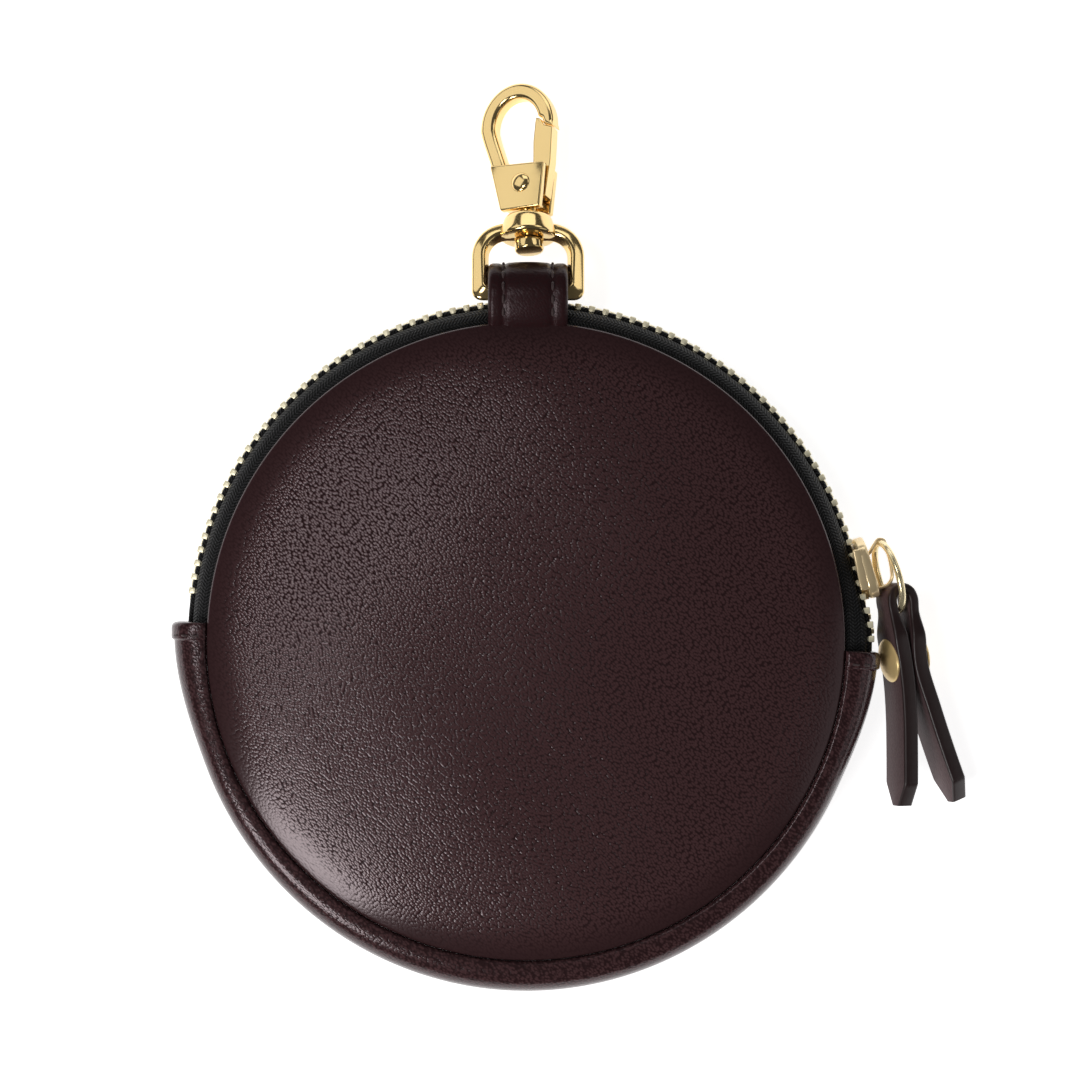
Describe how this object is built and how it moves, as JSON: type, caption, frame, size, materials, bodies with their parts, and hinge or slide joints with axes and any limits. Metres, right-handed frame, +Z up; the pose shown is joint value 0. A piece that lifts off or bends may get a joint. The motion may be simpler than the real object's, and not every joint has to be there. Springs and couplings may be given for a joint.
{
  "type": "round zip pouch",
  "caption": "Round padded leather zip pouch lying on its back, with a leather gusset, a metal zip with a riveted leather pull, and a gold swivel clip on a leather loop.",
  "frame": {"origin": "Middle of the flattened back panel, on the surface that the pouch lies on.", "axes": "+Z points up through the front panel, +Y runs from the pouch's middle to the clip, +X points to the zip pull."},
  "size_m": [0.1184, 0.136, 0.019],
  "materials": {
    "panel_leather": "satin fine grain",
    "strap_leather": "satin, painted edges",
    "zip_tape": "woven, matte",
    "zip_teeth": "polished pale gold",
    "gold_hardware": "polished gold plate"
  },
  "bodies": {
    "pouch": {"front_panel": "panel_leather", "back_panel": "panel_leather", "gusset": "panel_leather", "zip_tape_front": "zip_tape", "zip_tape_back": "zip_tape", "zip_teeth_front": "zip_teeth", "zip_teeth_back": "zip_teeth", "zip_slider": "gold_hardware", "pull_ring": "gold_hardware", "pull_strap": "strap_leather", "pull_rivet": "gold_hardware", "hanger_loop": "panel_leather"},
    "clip_ring": {"clip_ring": "gold_hardware"},
    "hook": {"hook_body": "gold_hardware", "gate_rivet": "gold_hardware"},
    "gate": {"hook_gate": "gold_hardware"}
  },
  "joints": [
    {"name": "ring_swing", "type": "hinge", "parent": "pouch", "child": "clip_ring", "pos_m": [0.0003, 0.0522, 0.012], "axis": [1, 0, 0], "range_deg": [-20, 140]},
    {"name": "hook_swivel", "type": "hinge", "parent": "clip_ring", "child": "hook", "pos_m": [0.0003, 0.06252, 0.00881], "axis": [-0.0523, 0.954, -0.2953], "continuous": true},
    {"name": "gate_open", "type": "hinge", "parent": "hook", "child": "gate", "pos_m": [0.00025, 0.06848, 0.00709], "axis": [-0.4062, 0.2498, 0.879], "range_deg": [0, 25], "stiffness_Nm_per_rad": 0.01, "springref_deg": -11.46}
  ]
}
